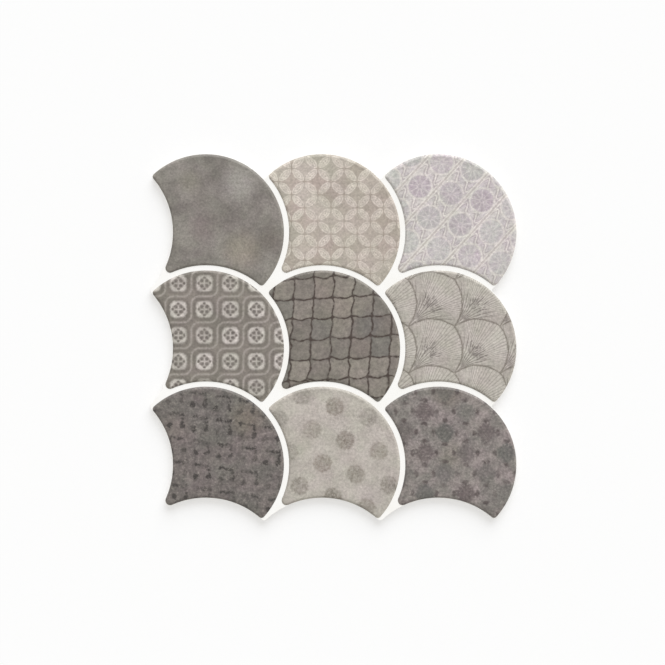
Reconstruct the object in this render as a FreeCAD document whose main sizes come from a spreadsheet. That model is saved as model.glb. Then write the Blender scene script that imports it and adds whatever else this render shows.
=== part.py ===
"""Fish scale tile: one piece of porcelain, pressed and fired, whose face is a field of fan-shaped scales.

The scales sit on a square lattice. Each is a disc that its left and lower neighbours bite into, so
it has a round crown, a horn at either end of the crown and a blunt tail where the two bites meet.
The scales stand proud of a recessed joint, and the tile's own edge follows the same circles, so
that the next tile nests into it. Millimetres, +Z out of the face, back on the plane z = 0, with
the origin under the centre of the middle scale's circle.
"""

import FreeCAD, Part
import Sketcher

import math
import os
from collections import namedtuple

# Driving dimensions: alias, value, what it is
SIZES = [
    ("pitch", 102.3, "centre to centre of neighbouring scales"),
    ("scales_per_side", 3, "scales along each side of the tile"),
    ("crown_setback", 3.6, "from the lattice circle, which neighbours would share, back to the crown"),
    ("joint_width", 4.6, "between a crown and the bite that faces it"),
    ("horn_round", 3.0, "corner radius at the two ends of a crown"),
    ("tail_round", 4.2, "radius of the blunt tail"),
    ("notch_round", 1.5, "radius in the notches between crowns on the tile's edge"),
    ("ledge", 0.5, "how far the tile's edge stands out past its scales"),
    ("thickness", 9.0, "back to face"),
    ("relief", 1.2, "how far the scales stand out of the joint"),
    ("cushion_run", 1.8, "width, in plan, of the sloped edge round each scale's face"),
    ("cushion_drop", 0.9, "how far that edge falls"),
    ("foot_chamfer", 0.8, "chamfer round the back"),
    ("key_size", 14.0, "side of one square recess in the back, for the adhesive"),
    ("key_rib", 6.0, "rib between two recesses"),
    ("key_depth", 0.8, "depth of a recess"),
    ("key_margin", 7.0, "least distance from the recesses to the tile's edge"),
]

# Sizes that follow from the driving ones, as formulas of the sheet
DERIVED = [
    ("crown_radius", "=pitch / sqrt(2) - crown_setback"),
    ("bite_radius", "=crown_radius + joint_width"),
    ("rim_crown_radius", "=crown_radius + ledge"),
    ("rim_bite_radius", "=bite_radius - ledge"),
    ("rim_horn_round", "=horn_round + ledge"),
    ("rim_tail_round", "=tail_round + ledge"),
    ("joint_level", "=thickness - relief"),
    ("first_scale", "=-pitch * (scales_per_side - 1) / 2"),
    ("scale_span", "=pitch * (scales_per_side - 1)"),
    ("key_low_limit", "=pitch - first_scale - rim_bite_radius - key_margin"),
    ("key_high_limit", "=sqrt(pow(rim_crown_radius; 2) - pow(pitch / 2; 2)) - first_scale - key_margin"),
    ("key_pitch", "=key_size + key_rib"),
    ("keys_below", "=floor((key_low_limit + key_rib / 2) / key_pitch)"),
    ("keys_above", "=floor((key_high_limit + key_rib / 2) / key_pitch)"),
    ("key_count", "=keys_below + keys_above"),
    ("first_key", "=(0.5 - keys_below) * key_pitch"),
    ("key_span", "=(key_count - 1) * key_pitch"),
]

# An outline is a ring of arcs about lattice points, with a rounded corner after each arc. A crown
# has the tile inside its circle, and a bite has it outside. A horn or tail points out of the tile,
# and a notch points in. "near" is a lattice point on the corner's side of the two circles.
CROWN, BITE = 1, -1
POINT, NOTCH = 1, -1
RimArc = namedtuple("RimArc", "column row radius side corner")
Corner = namedtuple("Corner", "radius turn near")

START, END, CENTRE = 1, 2, 3
ORIGIN = (-1, 1)
TOLERANCE = 1e-4


def fill_sheet(doc):
    """The spreadsheet of driving and derived sizes, each cell with its alias."""
    sheet = doc.addObject("Spreadsheet::Sheet", "Sizes")
    rows = [(alias, str(value), note) for alias, value, note in SIZES]
    rows += [(alias, formula, "derived") for alias, formula in DERIVED]
    for number, (alias, content, note) in enumerate(rows, start=1):
        sheet.set(f"A{number}", note)
        sheet.set(f"B{number}", content)
        sheet.setAlias(f"B{number}", alias)
    doc.recompute()
    return sheet


def scale_rim():
    """One scale, anticlockwise: over the crown, down the left bite, round the tail, along the lower bite."""
    horn_low = Corner("horn_round", POINT, (0.5, -0.5))
    horn_high = Corner("horn_round", POINT, (-0.5, 0.5))
    tail = Corner("tail_round", POINT, (0, 0))
    return [
        RimArc(0, 0, "crown_radius", CROWN, horn_high),
        RimArc(-1, 0, "bite_radius", BITE, tail),
        RimArc(0, -1, "bite_radius", BITE, horn_low),
    ]


def tile_rim(count):
    """The whole tile, anticlockwise: crowns on its right and upper sides, bites on its left and lower sides."""
    last = count - 1
    crown, bite = "rim_crown_radius", "rim_bite_radius"
    rim = []
    for row in range(last):
        notch = Corner("notch_round", NOTCH, (last + 0.5, row + 0.5))
        rim.append(RimArc(last, row, crown, CROWN, notch))
    for column in range(last, 0, -1):
        notch = Corner("notch_round", NOTCH, (column - 0.5, last + 0.5))
        rim.append(RimArc(column, last, crown, CROWN, notch))
    horn_high = Corner("rim_horn_round", POINT, (-0.5, last + 0.5))
    rim.append(RimArc(0, last, crown, CROWN, horn_high))
    for row in range(last, 0, -1):
        horn = Corner("rim_horn_round", POINT, (-0.5, row - 0.5))
        rim.append(RimArc(-1, row, bite, BITE, horn))
    rim.append(RimArc(-1, 0, bite, BITE, Corner("rim_tail_round", POINT, (0, 0))))
    for column in range(count):
        horn = Corner("rim_horn_round", POINT, (column + 0.5, -0.5))
        rim.append(RimArc(column, -1, bite, BITE, horn))
    return rim


def meeting_point(centre_a, radius_a, centre_b, radius_b, near):
    """Where two circles cross, on the side of the point near."""
    along = centre_b - centre_a
    gap = along.Length
    reach = (gap**2 + radius_a**2 - radius_b**2) / (2 * gap)
    rise = math.sqrt(radius_a**2 - reach**2)
    along.normalize()
    across = FreeCAD.Vector(-along.y, along.x, 0)
    foot = centre_a + along * reach
    return min((foot + across * rise, foot - across * rise), key=near.distanceToPoint)


def angle_of(centre, point):
    return math.atan2(point.y - centre.y, point.x - centre.x)


def add_arc(sketch, centre, radius, begin, finish, anticlockwise):
    """Adds an arc that runs from begin to finish. Returns its number and the names of those two ends."""
    first, second = (begin, finish) if anticlockwise else (finish, begin)
    circle = Part.Circle(centre, FreeCAD.Vector(0, 0, 1), radius)
    arc = Part.ArcOfCircle(circle, angle_of(centre, first), angle_of(centre, second))
    number = sketch.addGeometry(arc, False)
    return (number, START, END) if anticlockwise else (number, END, START)


def bind(sketch, name, formula, kind, *places):
    """Adds a dimension to the sketch and ties it to the sheet."""
    index = sketch.addConstraint(Sketcher.Constraint(kind, *places))
    sketch.renameConstraint(index, name)
    sketch.setExpression(f"Constraints.{name}", formula)


def draw_rim(sketch, sheet, rim, first):
    """Draws an outline as tangent arcs. first is the alias of the lattice's first coordinate."""

    def place(column, row):
        start = sheet.get(first)
        return FreeCAD.Vector(start + column * sheet.pitch, start + row * sheet.pitch, 0)

    centres = [place(arc.column, arc.row) for arc in rim]
    radii = [sheet.get(arc.radius) for arc in rim]
    knuckles = []
    for number, arc in enumerate(rim):
        after = (number + 1) % len(rim)
        inset = arc.corner.turn * sheet.get(arc.corner.radius)
        knuckles.append(
            meeting_point(
                centres[number],
                radii[number] - arc.side * inset,
                centres[after],
                radii[after] - rim[after].side * inset,
                place(*arc.corner.near),
            )
        )

    def touch(number, knuckle):
        """Where the arc runs into the corner whose centre is knuckle."""
        outward = knuckle - centres[number]
        return centres[number] + outward.normalize() * radii[number]

    ends = []
    for number, arc in enumerate(rim):
        after = (number + 1) % len(rim)
        begin, finish = touch(number, knuckles[number - 1]), touch(number, knuckles[number])
        main = add_arc(sketch, centres[number], radii[number], begin, finish, arc.side == CROWN)
        corner_radius = sheet.get(arc.corner.radius)
        corner_end = touch(after, knuckles[number])
        is_point = arc.corner.turn == POINT
        corner = add_arc(sketch, knuckles[number], corner_radius, finish, corner_end, is_point)
        ends += [main, corner]
        column_place = f"Sizes.{first} + {arc.column} * Sizes.pitch"
        row_place = f"Sizes.{first} + {arc.row} * Sizes.pitch"
        centre = centres[number]
        bind(sketch, f"column_{number}", column_place, "DistanceX", *ORIGIN, main[0], CENTRE, centre.x)
        bind(sketch, f"row_{number}", row_place, "DistanceY", *ORIGIN, main[0], CENTRE, centre.y)
        bind(sketch, f"radius_{number}", f"Sizes.{arc.radius}", "Radius", main[0], radii[number])
        bind(sketch, f"corner_{number}", f"Sizes.{arc.corner.radius}", "Radius", corner[0], corner_radius)
    for (arc, _, finish), (following, begin, _) in zip(ends, ends[1:] + ends[:1]):
        sketch.addConstraint(Sketcher.Constraint("Tangent", arc, finish, following, begin))


def new_sketch(body, name, level=None):
    """A sketch on the body's XY plane, or at the height that a formula of the sheet gives."""
    sketch = body.newObject("Sketcher::SketchObject", name)
    plane = next(o for o in body.Origin.OriginFeatures if o.Role == "XY_Plane")
    sketch.AttachmentSupport = [(plane, "")]
    sketch.MapMode = "FlatFace"
    if level:
        sketch.setExpression(".AttachmentOffset.Base.z", level)
    return sketch


def repeat_on_lattice(body, feature, sketch, name, count, span):
    """Repeats a feature in a square field, along both axes of its sketch."""
    field = body.newObject("PartDesign::MultiTransform", name)
    field.Originals = [feature]
    rows = []
    for axis in ("H_Axis", "V_Axis"):
        pattern = body.newObject("PartDesign::LinearPattern", f"{name}_{axis[0].lower()}")
        pattern.Direction = (sketch, [axis])
        pattern.setExpression("Length", span)
        pattern.setExpression("Occurrences", count)
        rows.append(pattern)
    field.Transformations = rows
    body.Tip = field
    return field


def flat_edges(shape, level):
    """Names of the edges that lie in the plane z = level."""
    return [
        f"Edge{number}"
        for number, edge in enumerate(shape.Edges, start=1)
        if abs(edge.BoundBox.ZMin - level) < TOLERANCE and abs(edge.BoundBox.ZMax - level) < TOLERANCE
    ]


def add_base(doc, sheet, body):
    """The slab under the scales, whose top is the floor of the joints, with a chamfered foot."""
    sketch = new_sketch(body, "tile_outline")
    draw_rim(sketch, sheet, tile_rim(int(sheet.scales_per_side)), "first_scale")
    base = body.newObject("PartDesign::Pad", "base")
    base.Profile = sketch
    base.setExpression("Length", "Sizes.joint_level")
    doc.recompute()
    foot = body.newObject("PartDesign::Chamfer", "foot")
    foot.Base = (base, flat_edges(base.Shape, 0.0))
    foot.setExpression("Size", "Sizes.foot_chamfer")
    doc.recompute()


def add_scales(doc, sheet, body):
    """The raised scales, whose edges fall away gently like those of a cushion."""
    sketch = new_sketch(body, "scale_outline", "Sizes.joint_level")
    draw_rim(sketch, sheet, scale_rim(), "first_scale")
    scale = body.newObject("PartDesign::Pad", "scale")
    scale.Profile = sketch
    scale.setExpression("Length", "Sizes.relief")
    doc.recompute()
    field = repeat_on_lattice(body, scale, sketch, "scale_field", "Sizes.scales_per_side", "Sizes.scale_span")
    doc.recompute()
    cushion = body.newObject("PartDesign::Chamfer", "cushion")
    cushion.Base = (field, flat_edges(field.Shape, sheet.thickness))
    cushion.ChamferType = "Two distances"
    cushion.FlipDirection = True
    cushion.setExpression("Size", "Sizes.cushion_run")
    cushion.setExpression("Size2", "Sizes.cushion_drop")
    doc.recompute()


def draw_key(sketch, sheet):
    """A square at the first place of the field of recesses."""
    low_place = sheet.first_key - sheet.key_size / 2
    high_place = low_place + sheet.key_size
    corners = [
        FreeCAD.Vector(low_place, low_place, 0),
        FreeCAD.Vector(high_place, low_place, 0),
        FreeCAD.Vector(high_place, high_place, 0),
        FreeCAD.Vector(low_place, high_place, 0),
    ]
    sides = []
    for begin, finish in zip(corners, corners[1:] + corners[:1]):
        sides.append(sketch.addGeometry(Part.LineSegment(begin, finish), False))
    for number, side in enumerate(sides):
        sketch.addConstraint(Sketcher.Constraint("Coincident", side, END, sides[(number + 1) % 4], START))
        sketch.addConstraint(Sketcher.Constraint("Vertical" if number % 2 else "Horizontal", side))
    low, right = sides[0], sides[1]
    low_edge = "Sizes.first_key - Sizes.key_size / 2"
    bind(sketch, "left_edge", low_edge, "DistanceX", *ORIGIN, low, START, low_place)
    bind(sketch, "low_edge", low_edge, "DistanceY", *ORIGIN, low, START, low_place)
    bind(sketch, "width", "Sizes.key_size", "DistanceX", low, START, low, END, sheet.key_size)
    bind(sketch, "height", "Sizes.key_size", "DistanceY", right, START, right, END, sheet.key_size)


def add_keys(doc, sheet, body):
    """Shallow recesses in the back, which the tile adhesive grips. The ribs between them stay flat."""
    uncut = body.Shape.Volume
    sketch = new_sketch(body, "key_outline")
    draw_key(sketch, sheet)
    key = body.newObject("PartDesign::Pocket", "key")
    key.Profile = sketch
    key.Reversed = True
    key.setExpression("Length", "Sizes.key_depth")
    doc.recompute()
    repeat_on_lattice(body, key, sketch, "key_field", "Sizes.key_count", "Sizes.key_span")
    doc.recompute()
    cut = uncut - body.Shape.Volume
    print(f"the recesses take {cut / 1000:.1f} cm3")
    if cut <= 0:
        raise RuntimeError("the recesses cut nothing")


def check(doc, body):
    """Stops unless every feature was built and the tile is one sound solid."""
    fields = doc.findObjects("PartDesign::MultiTransform")
    steps = [pattern.Name for field in fields for pattern in field.Transformations]
    for item in doc.Objects:
        if "Invalid" in item.State or "Error" in item.State:
            raise RuntimeError(f"{item.Name} was not built: {item.State}")
        has_shape = item.isDerivedFrom("PartDesign::Feature") and item.Name not in steps
        if has_shape and (item.Shape.isNull() or not item.Shape.isValid()):
            raise RuntimeError(f"{item.Name} has no sound shape")
    if not body.Shape.isValid() or len(body.Shape.Solids) != 1:
        raise RuntimeError("the tile is not one valid solid")


def main():
    doc = FreeCAD.newDocument("fish_scale_tile")
    sheet = fill_sheet(doc)
    body = doc.addObject("PartDesign::Body", "scale_tile")
    body.Label = "scale_tile"
    add_base(doc, sheet, body)
    add_scales(doc, sheet, body)
    add_keys(doc, sheet, body)
    check(doc, body)
    os.makedirs("parts", exist_ok=True)
    body.Shape.exportStep(f"parts/{body.Label}.step")
    box = body.Shape.optimalBoundingBox()
    print(f"{body.Label}: {box.XLength:.1f} x {box.YLength:.1f} x {box.ZLength:.1f} mm")


main()
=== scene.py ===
# %% [markdown]
# # A fish scale tile
# The object is one piece of pressed and fired porcelain. Its face is a field of nine fan-shaped
# scales, each with its own faded print in grey or beige, and a recessed white joint runs between
# them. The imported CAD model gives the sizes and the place. This lesson gives the looks: the outlines
# and the rounded edges first, then the glazes, then the body, and last the floor, light and camera.

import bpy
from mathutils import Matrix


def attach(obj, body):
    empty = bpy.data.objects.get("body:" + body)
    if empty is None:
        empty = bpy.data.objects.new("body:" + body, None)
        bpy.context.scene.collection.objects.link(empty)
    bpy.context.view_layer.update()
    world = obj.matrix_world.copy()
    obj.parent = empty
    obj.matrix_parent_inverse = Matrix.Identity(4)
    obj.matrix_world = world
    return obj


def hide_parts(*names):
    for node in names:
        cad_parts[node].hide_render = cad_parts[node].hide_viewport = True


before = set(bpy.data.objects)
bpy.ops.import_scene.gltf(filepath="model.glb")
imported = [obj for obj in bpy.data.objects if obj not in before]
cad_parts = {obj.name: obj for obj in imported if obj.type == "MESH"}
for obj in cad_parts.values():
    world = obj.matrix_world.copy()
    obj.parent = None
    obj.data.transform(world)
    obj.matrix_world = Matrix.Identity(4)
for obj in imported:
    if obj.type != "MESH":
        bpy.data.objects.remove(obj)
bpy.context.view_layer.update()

# %% The other tools
import cmath
import math
from collections import namedtuple

import bmesh
import bpy

# %% [markdown]
# ## Outlines
# Every edge of the tile is drawn from one square lattice. A scale is a disc about a lattice point,
# and its left and lower neighbours bite into it, so it has a round crown, a horn at either end of the
# crown, and a blunt tail. The tile's own edge follows the same circles, which is why the next tile
# nests into it. A curve object could be drawn by hand, but arcs that touch are exact and never kink.
# A point in the plane is a complex number here: adding moves it and multiplying turns it.

# %% Sizes in millimetres, the same as in the CAD model
# A crown is set back from the circle that its neighbours would share. Horn, tail and notch are the
# radii of rounded corners.
MM = 0.001
PITCH = 102.3
SCALES_PER_SIDE = 3
CROWN_SETBACK, JOINT_WIDTH = 3.6, 4.6
CROWN_RADIUS = PITCH / math.sqrt(2) - CROWN_SETBACK
BITE_RADIUS = CROWN_RADIUS + JOINT_WIDTH
HORN, TAIL, NOTCH = 3.0, 4.2, 1.5
LEDGE = 0.5
FACE_LEVEL, JOINT_LEVEL = 9.0, 7.8
print(f"crown radius {CROWN_RADIUS:.2f} mm, bite radius {BITE_RADIUS:.2f} mm")

# %% One arc of an outline, and where two circles cross
# side and turn are +1 where the shape lies inside the circle and -1 where it lies outside.
Arc = namedtuple("Arc", "centre radius side corner turn near")


def lattice_point(column, row):
    return complex(column, row) * PITCH


def crossing(first, first_radius, second, second_radius, near):
    apart = abs(second - first)
    along = (apart**2 + first_radius**2 - second_radius**2) / (2 * apart)
    aside = math.sqrt(first_radius**2 - along**2)
    toward = (second - first) / apart
    both = [first + toward * complex(along, aside), first + toward * complex(along, -aside)]
    return min(both, key=lambda point: abs(point - near))


# %% Walk round an outline
def sweep(centre, radius, way, begin, end, step):
    """Points along one arc, each with the direction that leads out of the shape."""
    start = cmath.phase(begin)
    angle = (way * (cmath.phase(end) - start)) % (2 * math.pi)
    count = max(6, math.ceil(angle * radius / step))
    spokes = [cmath.rect(1, start + way * angle * number / count) for number in range(count)]
    return [(centre + radius * spoke, way * spoke) for spoke in spokes]


def walk(rim, step=2.0):
    """Points round a ring of arcs, with a rounded corner after each arc."""
    pairs = list(zip(rim, rim[1:] + rim[:1]))
    knuckles = []
    for arc, after in pairs:
        inset = arc.turn * arc.corner
        first, second = arc.radius - arc.side * inset, after.radius - after.side * inset
        knuckles.append(crossing(arc.centre, first, after.centre, second, arc.near))
    ring = []
    for number, (arc, after) in enumerate(pairs):
        knuckle = knuckles[number]
        begin = knuckles[number - 1] - arc.centre
        ring += sweep(arc.centre, arc.radius, arc.side, begin, knuckle - arc.centre, step)
        begin = arc.side * arc.turn * (knuckle - arc.centre)
        end = after.side * arc.turn * (knuckle - after.centre)
        ring += sweep(knuckle, arc.corner, arc.turn, begin, end, step)
    return ring


# %% The outline of one scale, about the middle of its circle
scale_rim = [
    Arc(lattice_point(0, 0), CROWN_RADIUS, 1, HORN, 1, lattice_point(-0.5, 0.5)),
    Arc(lattice_point(-1, 0), BITE_RADIUS, -1, TAIL, 1, lattice_point(0, 0)),
    Arc(lattice_point(0, -1), BITE_RADIUS, -1, HORN, 1, lattice_point(0.5, -0.5)),
]
scale_ring = walk(scale_rim)
print("points round one scale:", len(scale_ring))

# %% The outline of the whole tile, a ledge wider than its scales
LAST = SCALES_PER_SIDE - 1


def rim_crown(column, row, turn, corner, near_column, near_row):
    near = lattice_point(near_column - 1, near_row - 1)
    return Arc(lattice_point(column - 1, row - 1), CROWN_RADIUS + LEDGE, 1, corner, turn, near)


def rim_bite(column, row, corner, near_column, near_row):
    near = lattice_point(near_column - 1, near_row - 1)
    return Arc(lattice_point(column - 1, row - 1), BITE_RADIUS - LEDGE, -1, corner, 1, near)


tile_rim = [rim_crown(LAST, row, -1, NOTCH, LAST + 0.5, row + 0.5) for row in range(LAST)]
tile_rim += [rim_crown(column, LAST, -1, NOTCH, column - 0.5, LAST + 0.5) for column in range(LAST, 0, -1)]
tile_rim += [rim_crown(0, LAST, 1, HORN + LEDGE, -0.5, LAST + 0.5)]
tile_rim += [rim_bite(-1, row, HORN + LEDGE, -0.5, row - 0.5) for row in range(LAST, 0, -1)]
tile_rim += [rim_bite(-1, 0, TAIL + LEDGE, 0, 0)]
tile_rim += [rim_bite(column, -1, HORN + LEDGE, column + 0.5, -0.5) for column in range(LAST + 1)]
tile_ring = walk(tile_rim)
print("points round the tile:", len(tile_ring))

# %% [markdown]
# ## Arithmetic that draws
# The prints are faded ornaments on a stony ground: circles, rosettes, fans, cobbles. They are the
# same wherever the tile is seen from, so they are drawn in the material by arithmetic on the Object
# coordinates, in millimetres about each scale's middle. A tree of Math nodes is hard to read when
# every node takes three lines, so an Ink is a socket that Python's own signs extend with more nodes.

# %% Ink: a number that changes over the face
def feed(tree, entry, value):
    """Links an Ink or a Paint to a node's entry, or sets a plain value on it."""
    if isinstance(value, (Ink, Paint)):
        tree.links.new(value.socket, entry)
    else:
        entry.default_value = value


class Ink:
    def __init__(self, tree, socket):
        self.tree, self.socket = tree, socket

    def made(self, operation, *others):
        """The Ink that a Math node makes of this one and others."""
        node = self.tree.nodes.new("ShaderNodeMath")
        node.operation = operation
        for entry, value in zip(node.inputs, (self,) + others):
            feed(self.tree, entry, value)
        return Ink(self.tree, node.outputs[0])

    def __add__(self, other):
        return self.made("ADD", other)

    def __sub__(self, other):
        return self.made("SUBTRACT", other)

    def __rsub__(self, other):
        return self.made("MULTIPLY_ADD", -1.0, other)

    def __mul__(self, other):
        return self.made("MULTIPLY", other)

    def __truediv__(self, other):
        return self.made("DIVIDE", other)

    def __pow__(self, other):
        return self.made("POWER", other)

    def __abs__(self):
        return self.made("ABSOLUTE")

    __radd__, __rmul__ = __add__, __mul__


# %% What is drawn with Ink
def least(first, *others):
    for other in others:
        first = first.made("MINIMUM", other)
    return first


def most(first, *others):
    for other in others:
        first = first.made("MAXIMUM", other)
    return first


def far(across, up):
    """How far a point is from the middle, given how far it is across and up."""
    return (across * across + up * up).made("SQRT")


SLANT = math.sqrt(0.5)


def slanted(across, up):
    """The same place on axes turned by 45 degrees."""
    return (across + up) * SLANT, (across - up) * SLANT


def folded(value, period):
    """The same stretch over and over, from minus half a period to plus half."""
    return value.made("WRAP", period / 2, -period / 2)


def counted(value, period):
    """Which repeat of the period a value falls in."""
    return (value / period).made("ROUND")


def rise(value, low, high, bottom=0.0, top=1.0):
    """Eases from bottom to top as the value goes from low to high."""
    node = value.tree.nodes.new("ShaderNodeMapRange")
    node.interpolation_type = "SMOOTHSTEP"
    for entry, setting in zip(node.inputs, (value, low, high, bottom, top)):
        feed(value.tree, entry, setting)
    return Ink(value.tree, node.outputs[0])


def within(distance, reach, soft=0.5):
    """1 where the distance is less than the reach, 0 beyond, with a soft edge."""
    return rise(distance - reach, -soft, soft, 1.0, 0.0)


# %% Paint: a colour that changes over the face
def shade(red, green, blue):
    """A colour as a screen gives it, 0 to 255, turned into the linear light that shaders count in."""
    def linear(value):
        value /= 255
        return value / 12.92 if value <= 0.04045 else ((value + 0.055) / 1.055) ** 2.4

    return (linear(red), linear(green), linear(blue), 1.0)


class Paint:
    def __init__(self, tree, socket):
        self.tree, self.socket = tree, socket

    def times(self, amount):
        """The colour made lighter or darker by an Ink."""
        node = self.tree.nodes.new("ShaderNodeVectorMath")
        node.operation = "SCALE"
        feed(self.tree, node.inputs[0], self)
        feed(self.tree, node.inputs["Scale"], amount)
        return Paint(self.tree, node.outputs[0])

    def tinted(self, colour):
        """The colour seen through another, part by part."""
        node = self.tree.nodes.new("ShaderNodeVectorMath")
        node.operation = "MULTIPLY"
        feed(self.tree, node.inputs[0], self)
        feed(self.tree, node.inputs[1], colour)
        return Paint(self.tree, node.outputs[0])

    def uneven(self, noise, low, high):
        """The colour times low where the noise is faint, rising to times high where it is strong."""
        return self.times(rise(noise, 0.3, 0.7, low, high))


def mixed(amount, without, full):
    """One colour where the Ink is 0, the other where it is 1."""
    node = amount.tree.nodes.new("ShaderNodeMix")
    node.data_type = "RGBA"
    feed(amount.tree, node.inputs[0], amount)
    feed(amount.tree, node.inputs[6], without)
    feed(amount.tree, node.inputs[7], full)
    return Paint(amount.tree, node.outputs[2])


# %% Pen: what a print starts from on one scale
# Every seed reads the same noise some steps further off, where it looks like another one.
SEED_STEP = (31.7, 17.3, 53.9)


class Pen:
    def __init__(self, tree, middle):
        self.tree = tree
        place = tree.nodes.new("ShaderNodeTexCoord")
        centred = tree.nodes.new("ShaderNodeMapping")
        centred.inputs["Scale"].default_value = (1 / MM, 1 / MM, 1 / MM)
        centred.inputs["Location"].default_value = (-middle.real, -middle.imag, 0)
        tree.links.new(place.outputs["Object"], centred.inputs["Vector"])
        self.place = centred.outputs["Vector"]
        parts = tree.nodes.new("ShaderNodeSeparateXYZ")
        tree.links.new(self.place, parts.inputs[0])
        self.x, self.y, self.z = (Ink(tree, socket) for socket in parts.outputs)
        self.to_crown = CROWN_RADIUS - far(self.x, self.y)
        self.to_bite = least(far(self.x + PITCH, self.y), far(self.x, self.y + PITCH)) - BITE_RADIUS

    def about(self, x, y):
        """The place measured from a pattern's own starting point."""
        return self.x - x, self.y - y

    def noise(self, size, seed, detail=2.0, roughness=0.5, stretch=(1, 1, 1)):
        """Cloudy noise from 0 to 1. Its blotches are about size millimetres apart."""
        moved = self.tree.nodes.new("ShaderNodeMapping")
        moved.inputs["Location"].default_value = [step * seed for step in SEED_STEP]
        moved.inputs["Scale"].default_value = stretch
        self.tree.links.new(self.place, moved.inputs["Vector"])
        node = self.tree.nodes.new("ShaderNodeTexNoise")
        self.tree.links.new(moved.outputs["Vector"], node.inputs["Vector"])
        for entry, value in (("Scale", 1 / size), ("Detail", detail), ("Roughness", roughness)):
            node.inputs[entry].default_value = value
        return Ink(self.tree, node.outputs[0])

    def wear(self, seed, size=2.2):
        """Fine ragged noise that frays the edges of a print."""
        return self.noise(size, seed, detail=3, roughness=0.65)

    def mottle(self, seed, size=5):
        """Stony noise for the tone of a ground."""
        return self.noise(size, seed, detail=4, roughness=0.65)

    def dice(self, column, row, seed):
        """A number from 0 to 1 that is the same all over one cell of a pattern."""
        joined = self.tree.nodes.new("ShaderNodeCombineXYZ")
        for entry, value in zip(joined.inputs, (column, row, seed)):
            feed(self.tree, entry, value)
        node = self.tree.nodes.new("ShaderNodeTexWhiteNoise")
        self.tree.links.new(joined.outputs[0], node.inputs["Vector"])
        return Ink(self.tree, node.outputs["Value"])

    def spot(self, x, y, reach):
        """A soft round patch."""
        return rise(far(*self.about(x, y)), reach * 0.2, reach * 1.2, 1.0, 0.0)

    def lattice(self, origin, first, second, start=(-0.5, -0.5)):
        """The cell of a slanted lattice, and the place in it in millimetres from the lattice point."""
        size = first[0] * second[1] - first[1] * second[0]
        x, y = self.about(*origin)
        along = x * (second[1] / size) - y * (second[0] / size)
        aside = y * (first[0] / size) - x * (first[1] / size)
        column, row = (along - start[0]).made("FLOOR"), (aside - start[1]).made("FLOOR")
        along, aside = along - column, aside - row
        dx = along * first[0] + aside * second[0]
        dy = along * first[1] + aside * second[1]
        return column, row, dx, dy


# %% [markdown]
# ## Satin glaze
# All nine scales share one satin glaze over the print. Fired glaze is never even: broad clouds of
# lighter and darker tone, a drift from pinkish to greenish grey, a fine stony grain and pinholes. Light
# and shade are painted on the rounded edge too: a painted highlight along the crowns, which face the
# light, and painted shade along the bites, which face away from it. A Principled shader with those
# laid over the print gives it, and the same grain sets the roughness and a very low bump. The dice of
# the prints have fixed seeds, picked so that light and dark cells fall about as they do on the real tile.

# %% Start a material's tree, and end it in a surface
def clean_tree(owner):
    """The emptied node tree of a material or a world."""
    owner.use_nodes = True
    owner.node_tree.nodes.clear()
    return owner.node_tree


def surface(tree, colour, roughness, specular, height, strength, depth):
    """A Principled surface with a fine bump, whose depth is in millimetres."""
    shader = tree.nodes.new("ShaderNodeBsdfPrincipled")
    feed(tree, shader.inputs["Base Color"], colour)
    feed(tree, shader.inputs["Roughness"], roughness)
    shader.inputs["IOR"].default_value = 1.5
    shader.inputs["Specular IOR Level"].default_value = specular
    bump = tree.nodes.new("ShaderNodeBump")
    bump.inputs["Strength"].default_value = strength
    bump.inputs["Distance"].default_value = depth * MM
    feed(tree, bump.inputs["Height"], height)
    tree.links.new(bump.outputs["Normal"], shader.inputs["Normal"])
    out = tree.nodes.new("ShaderNodeOutputMaterial")
    tree.links.new(shader.outputs[0], out.inputs["Surface"])


# %% Fire a glaze over a print
GREENISH, PINKISH = (0.98, 1.0, 0.968, 1), (1.02, 1.0, 1.014, 1)


def fire(material, middle, draw):
    """Glazes a material over a print, which gives a colour and how thickly it covers."""
    tree = clean_tree(material)
    pen = Pen(tree, middle)
    colour, cover = draw(pen)
    clouds = pen.noise(30, 1, detail=3)
    drift = pen.noise(17, 2, detail=2)
    mottle = pen.mottle(3)
    grain = pen.noise(2.1, 4, detail=3, roughness=0.7)
    pinhole = rise(pen.noise(1.1, 5, detail=1), 0.68, 0.75)
    salt = rise(pen.noise(1.4, 6, detail=1), 0.68, 0.76)
    inside = rise(least(pen.to_crown, pen.to_bite), 0.5, 11)
    tone = 0.15 + clouds * 0.24 + mottle * 0.42 + grain * 0.95
    tone = tone * (0.89 + inside * 0.05) * (1.0 - pinhole * 0.18) * (1.0 + salt * 0.2)
    # Painted shade: the bites, which face away from the light, are drawn darker along their edge in a ragged
    # line.
    painted_bite_shade = within(pen.to_bite, 1.2, 1.0) * rise(mottle, 0.35, 0.6, 0.4, 1.0)
    # Painted highlight: the crowns, which face the light, are drawn lighter along their rounded edge.
    painted_crown_highlight = within(pen.to_crown, 1.7, 1.6)
    tone = tone * (1.0 - painted_bite_shade * 0.14) * (1.0 + painted_crown_highlight * 0.2)
    pinkish = rise(drift + inside * 0.12, 0.42, 0.8)
    colour = colour.times(tone).tinted(mixed(pinkish, GREENISH, PINKISH))
    satin = 0.34 + grain * 0.26 + pinhole * 0.15 - cover * 0.05
    relief = grain + cover * 0.35 - pinhole * 0.6
    surface(tree, colour, satin, specular=0.4, height=relief, strength=0.35, depth=0.08)
    print(material.name, "has", len(tree.nodes), "nodes")


# %% The nine glazes, named row by row from the top left
GLAZES = [
    "smoke_glaze", "interlaced_circles_glaze", "rosettes_glaze",
    "quatrefoils_glaze", "cobbles_glaze", "fans_glaze",
    "brackets_glaze", "doilies_glaze", "diamonds_glaze",
]
glaze = {name: bpy.data.materials.new(name) for name in GLAZES}
print("glazes to fire:", len(glaze))


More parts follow.
